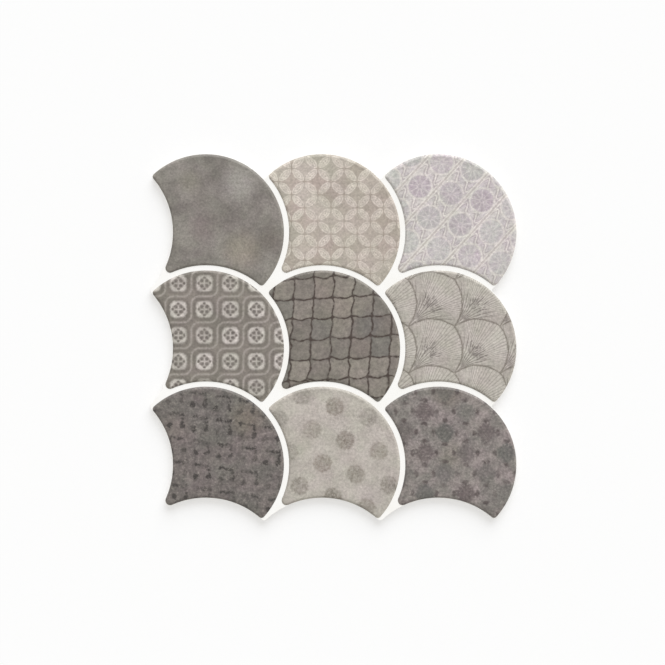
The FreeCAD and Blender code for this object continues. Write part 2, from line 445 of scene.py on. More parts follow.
def middle_of(name):
    """The middle of the scale that wears this glaze."""
    row, column = divmod(GLAZES.index(name), SCALES_PER_SIDE)
    return lattice_point(column - 1, 1 - row)


# %% [markdown]
# ## Smoke
# The plain scale is a cloudy taupe, like a slab of polished cement: a paler bloom towards the top
# right, an olive patch, a sandy one low on the right, a pinkish one in the middle, and a darker drift
# across it. Noise alone would put the clouds anywhere, so soft spots set the large ones.

# %% Draw the smoke
def smoke(pen):
    billow = pen.noise(22, 11, detail=5, roughness=0.6)
    colour = mixed(rise(billow, 0.32, 0.68), shade(121, 115, 109), shade(149, 143, 136))
    colour = mixed(pen.spot(29, 43, 19) * 0.75, colour, shade(166, 160, 155))
    colour = mixed(pen.spot(-14, 44, 13) * 0.4, colour, shade(139, 136, 119))
    colour = mixed(pen.spot(32, -16, 20) * 0.55, colour, shade(157, 147, 132))
    colour = mixed(pen.spot(57, -6, 13) * 0.6, colour, shade(117, 110, 101))
    colour = mixed(pen.spot(-3, 4, 15) * 0.5, colour, shade(137, 124, 122))
    colour = mixed(pen.spot(-4, 29, 13) * 0.6, colour, shade(122, 113, 109))
    across = abs(pen.x * 0.6 + pen.y * 0.8 - 23 + billow * 18)
    along = abs(pen.x * 0.8 - pen.y * 0.6 - 2)
    drift = within(across, 4, 8) * within(along, 20, 12)
    colour = mixed(drift * 0.4, colour, shade(117, 109, 104))
    stone = pen.noise(1.7, 12, detail=2)
    return colour.uneven(stone, 0.92, 1.08), stone * 0.3


fire(glaze["smoke_glaze"], middle_of("smoke_glaze"), smoke)

# %% [markdown]
# ## Interlaced circles
# Circles that overlap by a quarter leave pointed petals on the slant and hollow-sided diamonds
# between. Turned by 45 degrees the circles stand on a square lattice, and one folded cell of it holds
# the whole pattern: a point is in a petal if the next cell's circle covers it too.

# %% Draw the interlaced circles
def interlaced_circles(pen):
    apart = 16.33
    reach = apart / math.sqrt(2)
    spine, bead_gap = reach - apart / 2, 2.6
    p, q = slanted(*pen.about(-3.7, -1.7))
    column, row = counted(p, apart), counted(q, apart)
    fp, fq = abs(p - column * apart), abs(q - row * apart)
    worn = pen.wear(21, size=2.6)
    fade = pen.noise(14, 22, detail=2)
    depth = reach - least(far(apart - fp, fq), far(fp, apart - fq)) + (worn - 0.5)
    petal = rise(depth, -0.4, 0.6)
    vein = within(abs(depth - 1.5), 0.3, 0.4)
    bead = within(far(folded(least(fp, fq) + bead_gap / 2, bead_gap), depth - spine), 0.65, 0.4)
    corner_p, corner_q = apart / 2 - fp, apart / 2 - fq
    petal = petal * rise(far(corner_p, corner_q), 0.6, 2.8, 0.4, 1.0)
    tick = within(abs(corner_p - corner_q) * SLANT, 0.5, 0.45) * within(corner_p + corner_q, 3.6, 1.6)
    warm = rise(pen.x - pen.y * 0.2, -35, 60)
    ground = mixed(rise(pen.dice(column, row, 33111), 0.1, 0.9), shade(196, 186, 176), shade(177, 166, 155))
    ground = mixed(rise(pen.dice(column, row, 17414), 0.75, 0.8) * 0.5, ground, shade(181, 164, 155))
    ground = mixed(rise(pen.dice(column, row, 38691), 0.78, 0.82) * 0.4, ground, shade(182, 178, 164))
    ground = mixed(warm * 0.35, ground, shade(178, 166, 155))
    light = mixed(warm, shade(223, 214, 203), shade(214, 204, 193))
    strength = rise(worn, 0.3, 0.55, 0.6, 1.0) * rise(fade, 0.3, 0.6, 0.65, 1.0)
    colour = mixed(petal * strength, ground, light)
    colour = mixed(petal * most(vein * 0.5, bead * 0.8), colour, shade(180, 168, 157))
    colour = mixed(tick * rise(worn, 0.35, 0.6, 0.3, 0.8), colour, shade(164, 151, 139))
    return colour, petal * strength


fire(glaze["interlaced_circles_glaze"], middle_of("interlaced_circles_glaze"), interlaced_circles)

# %% [markdown]
# ## Rosettes
# Rows of little wheel-like rosettes run slantwise between pairs of pale lines, each rosette a soft
# tint of its own, and pale curls wind between one rosette and the next. The pattern is measured along
# the rows and across them. Spokes come from the angle about a rosette's middle, a curl is a sine wave,
# and rolling dice for each rosette picks its tint.

# %% Draw the rosettes
def rosettes(pen):
    run, gap, shift = 28.68, 24.5, 13.74
    lean_x, lean_y, spokes = 0.6695, 0.7427, 9
    p = pen.x * lean_x + pen.y * lean_y - 4.08
    q = pen.x * lean_y - pen.y * lean_x + 14.59
    row = counted(q, gap)
    q = q - row * gap
    p = p - row * shift
    number = counted(p, run)
    p = p - number * run
    worn = pen.wear(31, size=2.4)
    around, angle = far(p, q), q.made("ARCTAN2", p)
    disc = within(around, 9.7, 0.7)
    ring = within(abs(around - 11.0), 0.75, 0.5)
    swung, part = angle * (spokes / 2), around / (spokes / 2)
    spoke = within(abs(swung.made("SINE")) * part, 0.38, 0.45) * rise(around, 1.0, 3.0)
    seam = within(abs(swung.made("COSINE")) * part, 0.35, 0.45) * rise(around, 4.0, 7.0)
    hub = within(abs(around - 2.0), 0.45, 0.45)
    off_line = abs(abs(q) - gap / 2)
    band = within(abs(off_line - 1.3), 0.5, 0.4)
    between = within(off_line, 0.7, 0.5)
    # Dividing by the slope keeps a curl equally wide where it runs across and where it turns.
    swing, winding = 2.2 + abs(q) * 0.25, 0.58
    slope = (q * winding).made("COSINE") * swing * winding
    wave = abs(folded(p - run / 2, run) - (q * winding).made("SINE") * swing)
    wave = wave / (slope * slope + 1.0).made("SQRT")
    span = within(abs(q), 10.4, 0.8) * rise(abs(q), 0.5, 2.5)
    curl = within(wave, 0.55, 0.4) * span
    curl_shade = within(abs(wave - 1.3), 0.6, 0.5) * span
    roll, turn = pen.dice(number, row, 4674), pen.dice(number, row, 22610)
    patch = (pen.noise(8, 36, detail=1) - 0.5) * 0.9
    tint = mixed(rise(roll + patch, 0.1, 0.9), shade(197, 184, 191), shade(199, 198, 194))
    tint = tint.times(rise(turn, 0.0, 1.0, 1.04, 0.87))
    ground = mixed(rise(pen.noise(9, 34, detail=3), 0.35, 0.65), shade(216, 210, 206), shade(206, 198, 200))
    ground = mixed(rise(pen.noise(15, 35, detail=2), 0.5, 0.7) * 0.5, ground, shade(211, 198, 203))
    fade = rise(worn, 0.3, 0.6, 0.45, 1.0)
    colour = mixed(disc * fade, ground, tint)
    colour = mixed(most(curl_shade * 0.7, disc * seam * 0.45) * fade, colour, shade(172, 159, 162))
    colour = mixed(between * 0.6, colour, shade(197, 187, 180))
    pale = most(ring * 0.75, disc * most(spoke * 0.55, hub * 0.4), curl * 0.85, band) * fade
    colour = mixed(pale, colour, shade(230, 224, 217))
    return colour, pale


fire(glaze["rosettes_glaze"], middle_of("rosettes_glaze"), rosettes)

# %% [markdown]
# ## Quatrefoils
# Light squares with rounded corners hold a grey medallion each, parted by a pale cross, with a dark
# flower of four petals and four buds on it. Pale lines climb between them like a staircase: at every
# crossing one line turns from south to east and the other from west to north, so they never meet.
# One distance rule, that of a box with rounded corners, draws both the squares and the turns.

# %% Draw the quatrefoils
def quatrefoils(pen):
    cell, bend = 22.9, 7.0
    straight, petal_out, bud_out = 2.6, 2.25, 5.1
    u, v = pen.about(-1.2, 11.6)
    column, row = counted(u, cell), counted(v, cell)
    worn = pen.wear(41)
    frayed = worn - 0.5
    ax, ay = abs(u - column * cell), abs(v - row * cell)
    square = far(most(ax - straight, 0.0), most(ay - straight, 0.0)) + frayed * 3.0
    panel = within(square, 4.5, 1.4)
    medallion = within(far(ax, ay) * 0.5 + (ax + ay) * 0.4 + frayed * 1.6, 5.4, 0.8)
    cross = within(least(ax, ay), 0.35, 0.5) * within(far(ax, ay), 3.4, 1.2)
    petal = within(far(ax - petal_out, ay - petal_out) + frayed * 0.9, 1.45, 0.65)
    beside, above = far((ax - bud_out) * 1.2, ay), far(ax, (ay - bud_out) * 1.2)
    bud = within(least(beside, above) + frayed * 0.9, 1.2, 0.6)
    flower = most(petal, bud)
    nx, ny = folded(u - cell / 2, cell), folded(v - cell / 2, cell)

    def stair(px, py):
        """How far a point is from a line that comes along one axis and leaves along the other."""
        return abs(far(most(bend - px, 0.0), most(bend - py, 0.0)) - bend)

    line = within(least(stair(nx, 0.0 - ny), stair(0.0 - nx, ny)) + frayed * 0.8, 0.85, 0.7)
    fade = pen.noise(13, 42, detail=2)
    roll = pen.dice(column, row, 33737)
    ground = mixed(rise(pen.noise(20, 44), 0.35, 0.65), shade(128, 121, 113), shade(140, 132, 124))
    colour = mixed(within(square, 7.2, 1.2) * 0.4, ground, shade(110, 103, 96))
    colour = mixed(line * rise(worn, 0.3, 0.55, 0.4, 1.0), colour, shade(166, 158, 151))
    light = mixed(roll, shade(200, 193, 185), shade(220, 213, 206))
    light = mixed(medallion * (1.0 - cross * 0.7) * 0.8, light, shade(154, 146, 139))
    colour = mixed(panel * rise(fade, 0.3, 0.6, 0.75, 1.0) * rise(worn, 0.3, 0.5, 0.7, 1.0), colour, light)
    colour = mixed(panel * flower * rise(worn, 0.3, 0.6, 1.0, 0.7), colour, shade(106, 99, 93))
    return colour, most(panel * 0.6, line)


fire(glaze["quatrefoils_glaze"], middle_of("quatrefoils_glaze"), quatrefoils)

# %% [markdown]
# ## Cobbles
# Uneven dark lines, as if drawn with a brush, part the face into blocks that each have a tone of
# their own, with a paler and a darker part of the face over them. A Voronoi texture would make stones
# too, but not in rows. So two sets of lines are drawn, pushed about by noise and bowed by a wave as
# long as a block, and dice tone the blocks.

# %% Draw the cobbles
def cobbles(pen):
    wide, high, corner = 17.5, 18.0, 2.2
    u = pen.x - pen.y * 0.06 - 7.4 + (pen.noise(9, 52, detail=1) - 0.5) * 4.5
    v = pen.y - pen.x * 0.05 - 8.4 + (pen.noise(9, 53, detail=1) - 0.5) * 3.8
    bow_x = (v * (2 * math.pi / high) + 0.8).made("SINE")
    bow_y = (u * (2 * math.pi / wide)).made("COSINE")
    u, v = u + bow_x * 0.6, v - bow_y * 0.75
    from_x, from_y = abs(folded(u, wide)), abs(folded(v, high))
    gap = corner - far(most(corner - from_x, 0.0), most(corner - from_y, 0.0))
    brush = pen.noise(3.0, 54, detail=3)
    line = within(gap + (brush - 0.5) * 1.8, 0.68, 0.5)
    column, row = (u / wide).made("FLOOR"), (v / high).made("FLOOR")
    roll, turn = pen.dice(column, row, 32695), pen.dice(column, row, 7381)
    block = mixed(roll, shade(120, 113, 106), shade(146, 138, 129))
    block = mixed(rise(turn, 0.75, 0.95) * 0.5, block, shade(119, 117, 111))
    block = mixed(rise(turn, 0.3, 0.05) * 0.5, block, shade(138, 126, 119))
    block = mixed(pen.spot(15, 36, 20) * 0.45, block, shade(152, 143, 131))
    block = mixed(pen.spot(41, 20, 15) * 0.5, block, shade(110, 108, 104))
    block = block.uneven(pen.mottle(57), 0.84, 1.16)
    block = block.times(rise(gap, 0.6, 2.2, 0.88, 1.02))
    colour = mixed(line * rise(brush, 0.45, 0.7, 1.0, 0.7), block, shade(65, 53, 46))
    return colour, 1.0 - line


fire(glaze["cobbles_glaze"], middle_of("cobbles_glaze"), cobbles)

# %% [markdown]
# ## Fans
# A small fish scale pattern in pen strokes. Every cell of a square net has its upper and right
# sides bowed outward, and fine lines spread from its lower left corner like the ribs of a palm leaf.
# The ribs keep one value of a ratio: how far a point is aside of the fan's axis, over the distance
# along it to the power of one and a half, so they start together and end square to the rim. Darker
# twigs lie among them, and a tuft of needles spreads from a hub on the axis, with a dark knot in it.

# %% Draw the fans
def fans(pen):
    wide, high = 40.3, 41.0
    hub, knot_at, needle_gap = 17, 30, 0.15
    u, v = pen.about(-6, -1)
    wobble = (pen.noise(7, 61, detail=2) - 0.5) * 2.2
    bow_x = 7.0 * (1.0 - (folded(v, high) / (high / 2)) ** 2.0)
    bow_y = 6.6 * (1.0 - (folded(u, wide) / (wide / 2)) ** 2.0)
    side, top = u - bow_x + wide / 2 + wobble, v - bow_y + high / 2 + wobble
    rim = least(abs(folded(side, wide)), abs(folded(top, high)))
    column, row = (side / wide).made("FLOOR"), (top / high).made("FLOOR")
    dx = u - column * wide + wide / 2
    dy = v - row * high + high / 2
    along, aside = slanted(dy, dx)
    along, aside = most(along, 2.0), aside + wobble * 0.8
    reach = along ** 1.5
    splay = aside / reach
    worn = pen.wear(63)
    fan = column + row * 7

    def strokes(spacing, seed):
        """How near the next stroke is, and two dice for it."""
        number = counted(splay, spacing)
        near = abs(folded(splay, spacing)) * reach
        return near, pen.dice(number, fan, seed), pen.dice(number, fan, seed + 1)

    near, roll, turn = strokes(0.0082, 62)
    ribs = within(near, 0.22 + roll * 0.2, 0.4) * rise(along - turn * 10, 14, 22)
    near, roll, turn = strokes(0.026, 64)
    begin, end = 1 + roll * 8, 20 + turn * 14
    twigs = within(near, 0.5, 0.4) * rise(along - begin, 0, 3) * rise(along - end, -4, 3, 1.0, 0.0)
    spread, length = aside.made("ARCTAN2", along - hub), far(along - hub, aside)
    needle = counted(spread, needle_gap)
    roll, turn = pen.dice(needle, fan, 66), pen.dice(needle, fan, 67)
    tuft = rise(length - roll * 6, 3, 6) * rise(length - turn * 7, 11, 15, 1.0, 0.0)
    tuft = tuft * within(abs(spread), 0.75, 0.2)
    needles = within(abs(folded(spread, needle_gap)) * length, 0.4, 0.35) * tuft * rise(worn, 0.36, 0.5)
    knot = within(far((along - knot_at) * 0.8, aside - 0.5), 3.6, 3.0) * rise(pen.noise(1.9, 69), 0.46, 0.62)
    needles = most(needles, knot * 0.7)
    outline = within(rim + (worn - 0.5) * 2.2, 0.75, 0.6)
    inked = rise(worn, 0.3, 0.55, 0.45, 1.0)
    ground = mixed(rise(pen.noise(22, 68), 0.35, 0.65), shade(203, 196, 188), shade(194, 187, 178))
    colour = mixed(ribs * inked * 0.75, ground, shade(146, 138, 130))
    colour = mixed(twigs * inked * 0.8, colour, shade(122, 114, 108))
    colour = mixed(needles * 0.8, colour, shade(100, 92, 89))
    colour = mixed(outline * inked * 0.9, colour, shade(122, 114, 105))
    return colour, most(outline, needles)


fire(glaze["fans_glaze"], middle_of("fans_glaze"), fans)

# %% [markdown]
# ## Dots and brackets
# A dark worn print: a round dot in every cell of a slightly turned lattice, with a corner bracket
# above and to the right of it. The bracket's two strokes are beads on a thin thread, and pale specks
# lie over all. Clean beads would look new, so noise bends the strokes and eats into them.

# %% Draw the dots and brackets
def brackets(pen):
    bead_gap = 3.2
    column, row, dx, dy = pen.lattice((-9.5, 11), (20.9, -3.0), (1.0, -20.9), start=(-0.35, -0.65))
    dx = dx + (pen.noise(4.2, 75, detail=2) - 0.5) * 5
    dy = dy + (pen.noise(4.2, 76, detail=2) - 0.5) * 5
    worn = pen.wear(71)
    fade = pen.noise(12, 72, detail=2)
    dot = far(dx, dy) - 1.0
    foot = far(dx - 10.8, dy + 0.2) - 0.7
    off_top, past_top = dy - 10.2 + dx * 0.1, abs(dx - 4.8) - 5.6
    off_drop, past_drop = dx - 11.2, abs(dy - 5.4) - 5.4
    top = far(folded(dx, bead_gap), off_top) + most(past_top, 0.0) * 3
    drop = far(off_drop, folded(dy - 8.6, bead_gap)) + most(past_drop, 0.0) * 3
    top_thread = most(abs(off_top), past_top) + 0.9
    drop_thread = most(abs(off_drop), past_drop) + 1.1
    strokes = least(dot, foot, top, drop + 0.3, top_thread, drop_thread)
    stamp = within(strokes + (worn - 0.5) * 5.0, 1.5, 0.9)
    strength = rise(fade, 0.32, 0.58, 0.4, 1.0) * rise(pen.dice(column, row, 73), 0.0, 0.6, 0.6, 1.0)
    mauve = rise(pen.noise(24, 77, detail=3), 0.38, 0.62)
    ground = mixed(mauve, shade(113, 108, 103), shade(120, 111, 108))
    ground = ground.uneven(pen.mottle(74, size=6), 0.78, 1.22).uneven(worn, 1.12, 0.88)
    ground = mixed(pen.spot(36, 40, 18) * 0.5, ground, shade(126, 114, 101))
    ground = mixed(pen.spot(-26, 34, 15) * 0.5, ground, shade(136, 125, 119))
    colour = mixed(stamp * strength * 0.95, ground, shade(56, 51, 48))
    speck = rise(pen.noise(1.9, 78, detail=1), 0.6, 0.72)
    colour = mixed(speck * 0.4, colour, shade(152, 144, 136))
    return colour.uneven(pen.noise(2.0, 79), 0.81, 1.19), stamp * 0.4


fire(glaze["brackets_glaze"], middle_of("brackets_glaze"), brackets)

# %% [markdown]
# ## Doilies
# Pale stone with soft round doilies, some strong and some paler. Each is a frayed disc with rings of
# light flecks and dark knots, the trace of a lace pattern, and a faint halo of flecks round it. A
# sharp lace would be more than the wear has left, so sines of the angle only hint at it, and dice set
# how strongly each doily prints.

# %% Draw the doilies
def doilies(pen):
    column, row, dx, dy = pen.lattice((20.5, 21.5), (29.3, -9.6), (9.2, -29.6))
    around, angle = far(dx, dy), dy.made("ARCTAN2", dx)
    worn = pen.wear(81)
    swell = (angle * 6).made("SINE")
    disc = within(around + (worn - 0.5) * 4.0 + abs(swell) * 0.6, 8.3, 1.6)
    petal = swell * 0.5 + 0.5
    lace = within(abs(around - 5.0), 1.2, 0.8) * petal + within(abs(around - 2.1), 0.7, 0.6) * (1.0 - petal)
    lace = lace * rise(worn, 0.35, 0.6)
    knots = rise(pen.noise(2.3, 84), 0.52, 0.68)
    halo = within(abs(around - 11.3), 1.5, 1.2) * rise(worn, 0.54, 0.68)
    patchy = rise(pen.noise(8, 85), 0.32, 0.62, 0.75, 1.0)
    strength = rise(pen.dice(column, row, 3018), 0.0, 1.0, 0.62, 1.05) * patchy
    ground = mixed(rise(pen.noise(18, 83, detail=4), 0.35, 0.65), shade(195, 188, 179), shade(186, 178, 170))
    ground = mixed(pen.spot(-18, 18, 14) * 0.4, ground, shade(178, 176, 160))
    ground = mixed(pen.spot(45, -28, 16) * 0.4, ground, shade(188, 178, 174))
    tint = mixed(pen.dice(column, row, 13434), shade(142, 131, 121), shade(143, 138, 130))
    colour = mixed(most(disc * rise(worn, 0.3, 0.6, 1.0, 0.7), halo * 0.4) * strength, ground, tint)
    colour = mixed(disc * lace * 0.75, colour, shade(186, 179, 170))
    colour = mixed(disc * knots * strength * 0.5, colour, shade(124, 113, 104))
    return colour, disc * strength * 0.4


fire(glaze["doilies_glaze"], middle_of("doilies_glaze"), doilies)

# %% [markdown]
# ## Diamond medallions
# Dark diamonds in varied tones stand in staggered rows, each with a scalloped edge and an oval bead
# above, below, left and right, and pale specks lie over all. Two lattices could be laid over each
# other, but turned by 45 degrees the staggered rows are one square lattice, so a single cell does.

# %% Draw the diamond medallions
def diamonds(pen):
    cell, scallop_width = 25.5, 4.4
    bead_out, bead_long, bead_thick = 10.4, 2.9, 1.8
    p, q = slanted(*pen.about(-12, 10.5))
    column, row = counted(p, cell), counted(q, cell)
    dx, dy = slanted(p - column * cell, q - row * cell)
    ax, ay = abs(dx), abs(dy)
    worn = pen.wear(91, size=2.6)
    frayed = worn - 0.5
    scallop = (folded(ax - ay, scallop_width) / (scallop_width / 2)) ** 2.0
    round_diamond = (ax + ay) * 0.6 + far(ax, ay) * 0.56
    diamond = within(round_diamond + scallop * 1.4 + frayed * 8, 11.2, 2.6)
    upright = far(ax / bead_long, (ay - bead_out) / bead_thick)
    sideways = far((ax - bead_out) / bead_thick, ay / bead_long)
    bead = within(least(upright, sideways) + frayed * 2.1, 1.0, 0.5)
    lace = rise((dx * 1.5).made("SINE") * (dy * 1.5).made("SINE") + frayed * 5, 0.0, 0.8)
    roll, turn = pen.dice(column, row, 29044), pen.dice(column, row, 8875)
    tint = mixed(rise(roll, 0.15, 0.85), shade(97, 86, 85), shade(104, 102, 98))
    tint = mixed(lace * 0.25, tint, shade(136, 128, 123))
    ground = mixed(rise(pen.noise(14, 94, detail=3), 0.36, 0.64), shade(134, 128, 123), shade(147, 137, 134))
    ground = ground.uneven(pen.mottle(96), 0.84, 1.16)
    ground = mixed(pen.spot(12, 8, 14) * 0.35, ground, shade(130, 125, 109))
    ground = mixed(pen.spot(8, 64, 16) * 0.6, ground, shade(108, 98, 87))
    colour = mixed(diamond * rise(turn, 0.0, 1.0, 0.35, 0.95), ground, tint)
    colour = mixed(bead * rise(pen.noise(9, 95), 0.3, 0.6, 0.3, 0.9), colour, shade(84, 74, 72))
    speck = rise(pen.noise(1.9, 98, detail=1), 0.62, 0.74)
    colour = mixed(speck * 0.35, colour, shade(168, 160, 154))
    return colour.uneven(pen.noise(2.0, 97), 0.82, 1.17), most(bead, diamond * 0.4)


fire(glaze["diamonds_glaze"], middle_of("diamonds_glaze"), diamonds)

# %% [markdown]
# ## Joint white and biscuit
# The joint is filled with a matt white, sandy when looked at closely. The sides and the back are bare
# biscuit, the fired clay body: warm white with dark iron specks. A little joint white has run over
# the top of the sides, and the ribs of the back carry streaks of chalk from the kiln rollers and a few
# grey smudges. Each could be a material of its own, but the height over the back plane tells ribs,
# recesses and the top of the sides apart, so one biscuit does for all.

# %% Mix the joint white
MATT = {"specular": 0.2, "strength": 0.5}
joint_white = bpy.data.materials.new("joint_white")
pen = Pen(clean_tree(joint_white), 0j)
sand = pen.noise(0.9, 5, detail=3, roughness=0.6)
stain = pen.noise(26, 6, detail=3)
white = mixed(rise(stain, 0.35, 0.75), shade(251, 250, 247), shade(248, 246, 241))
white = white.times(0.96 + sand * 0.08)
surface(pen.tree, white, 0.62 + sand * 0.2, height=sand, depth=0.12, **MATT)
print("joint white has", len(pen.tree.nodes), "nodes")

# %% Mix the biscuit
biscuit = bpy.data.materials.new("biscuit")
pen = Pen(clean_tree(biscuit), 0j)
clay_grain = pen.noise(1.1, 7, detail=4, roughness=0.6)
clay_cloud = pen.noise(40, 8, detail=3)
body = mixed(rise(clay_cloud, 0.3, 0.7), shade(226, 219, 208), shade(218, 209, 196))
speck = rise(pen.noise(1.6, 9, detail=1), 0.71, 0.76)
body = mixed(speck * 0.55, body, shade(138, 116, 98))
rib = rise(pen.z, 0.15, 0.02)
chalk = rise(pen.noise(3.6, 10, detail=4, roughness=0.6, stretch=(0.08, 1, 1)), 0.36, 0.6) * rib
body = mixed(0.15 * rib + chalk * 0.35, body, shade(239, 237, 232))
smudge = rise(pen.noise(26, 11, detail=5, roughness=0.6), 0.54, 0.72) * rib
body = mixed(smudge * 0.22, body, shade(176, 168, 158))
overrun = rise(pen.z + (pen.noise(4, 12, detail=3) - 0.5) * 3.2, 6.7, 7.1)
body = mixed(overrun * 0.9, body, shade(243, 241, 236))
body = body.times(0.93 + clay_grain * 0.14)
dullness = 0.66 + clay_grain * 0.24 - overrun * 0.1
surface(pen.tree, body, dullness, height=clay_grain, depth=0.16, **MATT)
print("biscuit has", len(pen.tree.nodes), "nodes")

# %% [markdown]
# ## One scale
# A scale stands 1.2 mm out of the joint with a soft cushion edge, as pressed tiles have. It is a
# stack of rings: each takes the outline, moves it inward along its own normals, and sets a height.
# A Bevel modifier could round a plain block, but the rings give the profile exactly.

# %% Stack rings on each other
def in_metres(points, level):
    """Points of the plane, raised to a level."""
    return [(point.real * MM, point.imag * MM, level * MM) for point in points]


def bands(count, rings):
    """The faces between rings that have count points each."""
    faces = []
    for low in range(0, (rings - 1) * count, count):
        for number in range(count):
            after, high = (number + 1) % count, low + count
            faces.append((low + number, low + after, high + after, high + number))
    return faces


def stacked(ring, profile):
    """Corner points and faces of a stack of rings, given as inset and level."""
    points = []
    for inset, level in profile:
        points += in_metres([point - inset * outward for point, outward in ring], level)
    return points, bands(len(ring), len(profile))


def placed(name, data):
    """A new object in the scene, made of a mesh, a light or a camera."""
    thing = bpy.data.objects.new(name, data)
    bpy.context.collection.objects.link(thing)
    return thing


# %% Make one scale
# Each ring is an inset and a drop below the face. The first stands in the joint.
CUSHION = [
    (0.0, 1.2), (0.03, 1.08), (0.12, 0.95), (0.35, 0.74), (0.7, 0.52),
    (1.1, 0.31), (1.5, 0.14), (1.9, 0.03), (2.3, 0.0),
]
points, faces = stacked(scale_ring, [(inset, FACE_LEVEL - drop) for inset, drop in CUSHION])
sides = len(faces)
faces.append(tuple(range(len(points) - len(scale_ring), len(points))))
scale_mesh = bpy.data.meshes.new("one_scale")
scale_mesh.from_pydata(points, [], faces)
scale_mesh.polygons.foreach_set("use_smooth", [number < sides for number in range(len(faces))])
one_scale = placed("one_scale", scale_mesh)
print("one scale:", len(points), "points,", len(faces), "faces")

# %% [markdown]
# ## Scales on a lattice
# Nine scales stand on the square lattice. They could be copied in a Python loop, but what repeats is a
# job for Geometry Nodes, where the spacing and the number a side are inputs: a grid of points, the
# scale on each point, the number of the point kept on its scale, and a glaze for each number.

# %% Build a geometry tree with named sizes
def geometry_tree(name, sizes):
    """A new tree with an input for each size, its input node and its output node."""
    tree = bpy.data.node_groups.new(name, "GeometryNodeTree")
    tree.interface.new_socket("Geometry", in_out="INPUT", socket_type="NodeSocketGeometry")
    for label, value in sizes.items():
        kind = "NodeSocketInt" if isinstance(value, int) else "NodeSocketFloat"
        tree.interface.new_socket(label, in_out="INPUT", socket_type=kind).default_value = value
    tree.interface.new_socket("Geometry", in_out="OUTPUT", socket_type="NodeSocketGeometry")
    return tree, tree.nodes.new("NodeGroupInput"), tree.nodes.new("NodeGroupOutput")


def grid_of_points(tree, given):
    """Points on a square grid about the origin, Spacing apart and Per side each way."""
    steps = tree.nodes.new("ShaderNodeMath")
    steps.operation = "SUBTRACT"
    steps.inputs[1].default_value = 1
    span = tree.nodes.new("ShaderNodeMath")
    span.operation = "MULTIPLY"
    grid = tree.nodes.new("GeometryNodeMeshGrid")
    tree.links.new(given.outputs["Per side"], steps.inputs[0])
    tree.links.new(steps.outputs[0], span.inputs[0])
    tree.links.new(given.outputs["Spacing"], span.inputs[1])
    for axis in "XY":
        tree.links.new(span.outputs[0], grid.inputs[f"Size {axis}"])
        tree.links.new(given.outputs["Per side"], grid.inputs[f"Vertices {axis}"])
    return grid.outputs["Mesh"]


def grown(source, tree, sizes):
    """The plain mesh that a tree makes of an object, which is then taken away."""
    modifier = source.modifiers.new(tree.name, "NODES")
    modifier.node_group = tree
    for item in tree.interface.items_tree:
        if item.in_out == "INPUT" and item.name in sizes:
            modifier[item.identifier] = sizes[item.name]
    ready = source.evaluated_get(bpy.context.evaluated_depsgraph_get())
    mesh = bpy.data.meshes.new_from_object(ready)
    source.modifiers.remove(modifier)
    bpy.data.objects.remove(source)
    return mesh


# %% Set the scales out
lattice_sizes = {"Spacing": PITCH * MM, "Per side": SCALES_PER_SIDE}
tree, given, result = geometry_tree("scales_on_a_lattice", lattice_sizes)
laid = tree.nodes.new("GeometryNodeInstanceOnPoints")
tree.links.new(grid_of_points(tree, given), laid.inputs["Points"])
tree.links.new(given.outputs["Geometry"], laid.inputs["Instance"])
marked = tree.nodes.new("GeometryNodeStoreNamedAttribute")
marked.data_type, marked.domain = "INT", "INSTANCE"
marked.inputs["Name"].default_value = "scale_number"
tree.links.new(laid.outputs[0], marked.inputs["Geometry"])
tree.links.new(tree.nodes.new("GeometryNodeInputIndex").outputs[0], marked.inputs["Value"])
joined = tree.nodes.new("GeometryNodeRealizeInstances")
tree.links.new(marked.outputs[0], joined.inputs[0])
print(tree.name, "has", len(tree.nodes), "nodes so far")

# %% Glaze each scale by its number, counted up the columns from the left
number = tree.nodes.new("GeometryNodeInputNamedAttribute")
number.data_type = "INT"
number.inputs["Name"].default_value = "scale_number"
flow = joined.outputs[0]
for column in range(SCALES_PER_SIDE):
    for row in range(SCALES_PER_SIDE):
        same = tree.nodes.new("FunctionNodeCompare")
        same.data_type, same.operation = "INT", "EQUAL"
        tree.links.new(number.outputs["Attribute"], same.inputs[2])
        same.inputs[3].default_value = column * SCALES_PER_SIDE + row
        glazed = tree.nodes.new("GeometryNodeSetMaterial")
        glazed.inputs["Material"].default_value = glaze[GLAZES[(LAST - row) * SCALES_PER_SIDE + column]]
        tree.links.new(flow, glazed.inputs["Geometry"])
        tree.links.new(same.outputs[0], glazed.inputs["Selection"])
        flow = glazed.outputs[0]
tree.links.new(flow, result.inputs[0])
scales = grown(one_scale, tree, lattice_sizes)
for name in GLAZES:
    slot = [material.name if material else "" for material in scales.materials].index(name)
    mine = [face.center for face in scales.polygons if face.material_index == slot]
    inside = sum(abs(place.x - middle_of(name).real * MM) < CROWN_RADIUS * MM for place in mine)
    print(name, "on", len(mine), "faces,", inside, "in its own column")

# %% [markdown]
# ## Keys in the back
# The back has a waffle of shallow square recesses that the tile adhesive keys into. They could be cut
# by Boolean modifiers, but 169 cuts are slow and leave thin faces. So one recess is made as a square
# floor with drafted walls, and a second tree sets it out thirteen by thirteen.

# %% Press one key, open at the back plane
# Each ring is a width and a level: the mouth, the foot of the wall, and the flat floor.
KEY, KEY_FLOOR, KEY_DEPTH, KEY_PITCH, KEYS = 14.0, 12.9, 0.8, 20.0, 13
KEY_ROUND, FLOOR_ROUND = 1.2, 0.6
KEY_RINGS = [
    (KEY, 0.0),
    ((KEY + 2 * KEY_FLOOR) / 3, 0.8 * KEY_DEPTH),
    (KEY_FLOOR - FLOOR_ROUND, KEY_DEPTH),
]


def rounded_square(size):
    """Points round a square with rounded corners, three to a corner."""
    reach = size / 2 - KEY_ROUND
    spots = []
    for turn, (sx, sy) in enumerate([(1, 1), (-1, 1), (-1, -1), (1, -1)]):
        for part in range(3):
            angle = (turn + part / 2) * math.pi / 2
            spots.append(complex(sx * reach, sy * reach) + cmath.rect(KEY_ROUND, angle))
    return spots


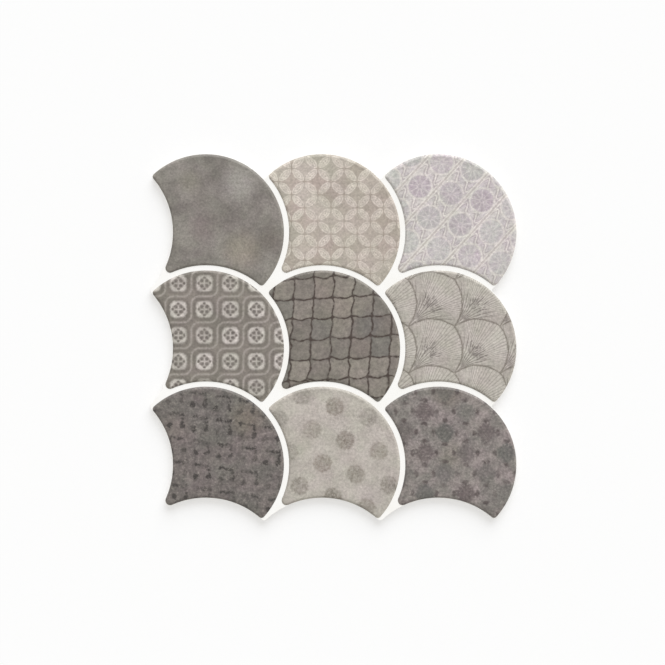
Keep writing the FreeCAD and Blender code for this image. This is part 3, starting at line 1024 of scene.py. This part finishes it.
key_points = [place for size, level in KEY_RINGS for place in in_metres(rounded_square(size), level)]
key_corners = len(key_points) // len(KEY_RINGS)
key_faces = [face[::-1] for face in bands(key_corners, len(KEY_RINGS))]
key_faces.append(tuple(range(len(key_points) - key_corners, len(key_points)))[::-1])
key_mesh = bpy.data.meshes.new("one_key")
key_mesh.from_pydata(key_points, [], key_faces)
one_key = placed("one_key", key_mesh)
print("one key:", len(key_points), "points,", len(key_faces), "faces")

# %% Set the keys out
key_sizes = {"Spacing": KEY_PITCH * MM, "Per side": KEYS, "Offset": KEY_PITCH / 2 * MM}
tree, given, result = geometry_tree("keys_in_the_back", key_sizes)
moved = tree.nodes.new("GeometryNodeSetPosition")
offset = tree.nodes.new("ShaderNodeCombineXYZ")
for axis in "XY":
    tree.links.new(given.outputs["Offset"], offset.inputs[axis])
tree.links.new(grid_of_points(tree, given), moved.inputs["Geometry"])
tree.links.new(offset.outputs[0], moved.inputs["Offset"])
laid = tree.nodes.new("GeometryNodeInstanceOnPoints")
tree.links.new(moved.outputs[0], laid.inputs["Points"])
tree.links.new(given.outputs["Geometry"], laid.inputs["Instance"])
joined = tree.nodes.new("GeometryNodeRealizeInstances")
tree.links.new(laid.outputs[0], joined.inputs[0])
bare = tree.nodes.new("GeometryNodeSetMaterial")
bare.inputs["Material"].default_value = biscuit
tree.links.new(joined.outputs[0], bare.inputs["Geometry"])
tree.links.new(bare.outputs[0], result.inputs[0])
keys = grown(one_key, tree, key_sizes)
print("keys:", len(keys.polygons), "faces")

# %% [markdown]
# ## The body
# What is left is the slab: the floor of the joint round the nine scales, the sides, and the back
# round the keys. The rings of the sides follow the tile's outline with a small round at the top and
# a rounded foot. The two flat parts have holes, so they are filled from their bounding edges.

# %% Bring the scales and keys together
finishes = [glaze[name] for name in GLAZES] + [joint_white, biscuit]
place_of = {material.name: number for number, material in enumerate(finishes)}
body_mesh = bmesh.new()


def bring(mesh):
    """Adds a mesh to the body, with its materials in the body's own order."""
    known = len(body_mesh.faces)
    body_mesh.from_mesh(mesh)
    body_mesh.faces.ensure_lookup_table()
    fresh = body_mesh.faces[known:]
    for face in fresh:
        face.material_index = place_of[mesh.materials[face.material_index].name]
    bpy.data.meshes.remove(mesh)
    return fresh


face_parts = bring(scales)
joint_edges = [edge for edge in body_mesh.edges if edge.is_boundary]
back_parts = bring(keys)
at_joint = set(joint_edges)
back_edges = [edge for edge in body_mesh.edges if edge.is_boundary and edge not in at_joint]
print("open edges:", len(joint_edges), "at the joint,", len(back_edges), "at the back")

# %% Raise the sides
# Each ring is an inset and a level, from the joint down to the back plane. The first layers are white.
WHITE_LAYERS = 2
SIDES = [
    (0.30, JOINT_LEVEL), (0.12, 7.75), (0.03, 7.62), (0.0, 7.40), (0.0, 1.10),
    (0.08, 0.85), (0.25, 0.60), (0.58, 0.27), (0.85, 0.06), (1.1, 0.0),
]
count = len(tile_ring)
points, faces = stacked(tile_ring, SIDES)
first_corner = len(body_mesh.verts)
corners = [body_mesh.verts.new(place) for place in points]
for number, face in enumerate(faces):
    side = body_mesh.faces.new([corners[point] for point in face])
    side.smooth = True
    side.material_index = place_of["joint_white" if number < WHITE_LAYERS * count else "biscuit"]
print("sides:", len(faces), "faces")

# %% Fill the joint and the back
def loop_edges(layer):
    """The edges round one ring of the sides."""
    ring = corners[layer * count:(layer + 1) * count]
    return [body_mesh.edges.get((ring[number], ring[(number + 1) % count])) for number in range(count)]


def fill(edges, normal, finish):
    """Flat faces between edges, holes left out, in one finish."""
    filled = bmesh.ops.triangle_fill(body_mesh, use_beauty=True, edges=edges, normal=normal)
    flats = [part for part in filled["geom"] if isinstance(part, bmesh.types.BMFace)]
    for flat in flats:
        flat.smooth = False
        flat.material_index = place_of[finish]
    return flats


joint_flats = fill(joint_edges + loop_edges(0), (0, 0, 1), "joint_white")
back_flats = fill(back_edges + loop_edges(len(SIDES) - 1), (0, 0, -1), "biscuit")
bmesh.ops.recalc_face_normals(body_mesh, faces=body_mesh.faces)
open_edges = [edge for edge in body_mesh.edges if not edge.is_manifold]
volume = body_mesh.calc_volume(signed=True)
print("joint flats", len(joint_flats), "back flats", len(back_flats), "open edges", len(open_edges))
print(f"volume {volume * 1e6:.1f} cm3")

# %% Make the tile an object
tile_mesh = bpy.data.meshes.new("fish_scale_tile")
body_mesh.to_mesh(tile_mesh)
body_mesh.free()
for material in finishes:
    tile_mesh.materials.append(material)
for attribute in [a for a in tile_mesh.attributes if a.name == "scale_number"]:
    tile_mesh.attributes.remove(attribute)
tile = placed("fish_scale_tile", tile_mesh)
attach(tile, "root")
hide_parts("scale_tile")
triangles = sum(len(face.vertices) - 2 for face in tile_mesh.polygons)
print("the tile has", triangles, "triangles")

# %% [markdown]
# ## A map for baked copies
# Where the finishes are baked into one square picture, every face needs a place of its own in it.
# Blender can unwrap a mesh by itself, but it would share the picture out evenly. The printed face is
# what counts, so it gets the largest square, seen straight from above. The back gets a small square
# beside it, and the wall is unrolled into strips over both.

# %% Measure along the wall and down it
# A strip keeps some millimetres spare, so that a face that starts just before its end still fits.
FACE_SHARE, BACK_SHARE, GUTTER = 0.70, 0.28, 0.006
STRIP_SCALE, STRIP_SPARE = 0.0042, 3
FIRST_WALL_LAYER = WHITE_LAYERS
run, drop = [0.0], [0.0]
for (here, _), (there, _) in zip(tile_ring, tile_ring[1:] + tile_ring[:1]):
    run.append(run[-1] + abs(there - here))
for (inset, level), (next_inset, next_level) in zip(SIDES, SIDES[1:]):
    drop.append(drop[-1] + math.hypot(next_inset - inset, next_level - level))
strip_length = (1 - 2 * GUTTER) / STRIP_SCALE - STRIP_SPARE
strip_height = (drop[-1] - drop[FIRST_WALL_LAYER]) * STRIP_SCALE + GUTTER
print(f"the wall is {run[-1]:.0f} mm long and lies in {math.ceil(run[-1] / strip_length)} strips")

# %% Give every face corner its place
low_x, low_y = (min(point.co[axis] for point in tile_mesh.vertices) for axis in (0, 1))
high_x = max(point.co.x for point in tile_mesh.vertices)
span = high_x - low_x
BESIDE = FACE_SHARE + 2 * GUTTER


def from_above(place):
    return [GUTTER + distance * FACE_SHARE / span for distance in (place.x - low_x, place.y - low_y)]


def from_below(place):
    across, up = (distance * BACK_SHARE / span for distance in (high_x - place.x, place.y - low_y))
    return [BESIDE + across, GUTTER + up]


def unrolled(number, point):
    layer, part = divmod(point - first_corner, count)
    strip = run[number] // strip_length
    along = run[number] if part == number else run[number + 1]
    down = (drop[layer] - drop[FIRST_WALL_LAYER]) * STRIP_SCALE
    return [GUTTER + (along - strip * strip_length) * STRIP_SCALE, BESIDE + strip * strip_height + down]


bake_map = tile_mesh.uv_layers.new(name="OFBake")
spots = [0.0] * (2 * len(tile_mesh.loops))
first_side = len(face_parts) + len(back_parts)
for face in tile_mesh.polygons:
    layer, number = divmod(face.index - first_side, count)
    on_wall = FIRST_WALL_LAYER <= layer < len(SIDES) - 1
    flat_view = from_above if face.normal.z > 0 else from_below
    for corner, point in zip(face.loop_indices, face.vertices):
        spot = unrolled(number, point) if on_wall else flat_view(tile_mesh.vertices[point].co)
        spots[2 * corner:2 * corner + 2] = spot
bake_map.data.foreach_set("uv", spots)
print(f"the map reaches from {min(spots):.3f} to {max(spots):.3f}")

# %% [markdown]
# ## Floor, light and camera
# The tile lies on white paper under a broad soft light from the upper right, so the crowns catch
# the light and the bites fall into shade. The paper is lifted to white only where it is looked at,
# by Light Path, so no extra light falls on the tile, and it keeps the tile's shadow.

# %% Lay the floor, a hair below the tile
PAPER_REACH, PAPER_LEVEL = 4.0, -0.0002
floor_mesh = bpy.data.meshes.new("paper")
square = ((-1, -1), (1, -1), (1, 1), (-1, 1))
paper_corners = [(sx * PAPER_REACH, sy * PAPER_REACH, PAPER_LEVEL) for sx, sy in square]
floor_mesh.from_pydata(paper_corners, [], [(0, 1, 2, 3)])
floor = placed("paper", floor_mesh)
print("the paper is", 2 * PAPER_REACH, "m across")

# %% Colour the paper
PAPER_LIFT = 0.5


def looked_at(tree):
    """1 for rays that end in the picture, straight or by way of a reflection."""
    path = tree.nodes.new("ShaderNodeLightPath")
    kinds = ("Camera", "Glossy", "Transmission")
    return most(*(Ink(tree, path.outputs[f"Is {kind} Ray"]) for kind in kinds))


paper = bpy.data.materials.new("paper")
tree = clean_tree(paper)
pen = Pen(tree, 0j)
fibre = pen.noise(3, 13, detail=4)
plain = tree.nodes.new("ShaderNodeBsdfDiffuse")
feed(tree, plain.inputs["Color"], mixed(fibre, (0.95, 0.95, 0.945, 1), (0.97, 0.97, 0.965, 1)))
lift = tree.nodes.new("ShaderNodeEmission")
lift.inputs["Color"].default_value = (1, 1, 1, 1)
both = tree.nodes.new("ShaderNodeMixShader")
feed(tree, both.inputs[0], looked_at(tree) * PAPER_LIFT)
tree.links.new(plain.outputs[0], both.inputs[1])
tree.links.new(lift.outputs[0], both.inputs[2])
out = tree.nodes.new("ShaderNodeOutputMaterial")
tree.links.new(both.outputs[0], out.inputs["Surface"])
floor_mesh.materials.append(paper)

# %% Hang the lights
SKY, SUN_SHARE = 0.54, 0.465
SUN_HEIGHT, SUN_ROUND, SUN_SPREAD = math.radians(38), math.radians(76), math.radians(52)
WARM_SKY, COOL_SUN = (1.02, 1.0, 0.955, 1), (0.976, 1.0, 1.053)
world = bpy.data.worlds.new("studio")
bpy.context.scene.world = world
tree = clean_tree(world)
background = tree.nodes.new("ShaderNodeBackground")
seen = looked_at(tree)
feed(tree, background.inputs["Color"], mixed(seen, WARM_SKY, (1, 1, 1, 1)))
feed(tree, background.inputs["Strength"], seen * (1 - SKY) + SKY)
out = tree.nodes.new("ShaderNodeOutputWorld")
tree.links.new(background.outputs[0], out.inputs["Surface"])
lamp = bpy.data.lights.new("broad_light", "SUN")
lamp.energy = SUN_SHARE * math.pi / math.sin(SUN_HEIGHT)
lamp.angle, lamp.color = SUN_SPREAD, COOL_SUN
light = placed("broad_light", lamp)
light.rotation_euler = (0, math.pi / 2 - SUN_HEIGHT, SUN_ROUND)
print(f"sun strength {lamp.energy:.2f}")

# %% Set up the camera, straight above
FRAME_WIDTH, FRAME_MIDDLE = 585.0, 9.2 + 14.1j
camera_data = bpy.data.cameras.new("camera")
camera_data.lens, camera_data.sensor_width = 100, 36
camera = placed("camera", camera_data)
height = FACE_LEVEL + FRAME_WIDTH * camera_data.lens / camera_data.sensor_width
camera.location = in_metres([FRAME_MIDDLE], height)[0]
bpy.context.scene.camera = camera
bpy.context.scene.view_settings.view_transform = "Standard"
print(f"the camera is {height:.0f} mm over the back plane")
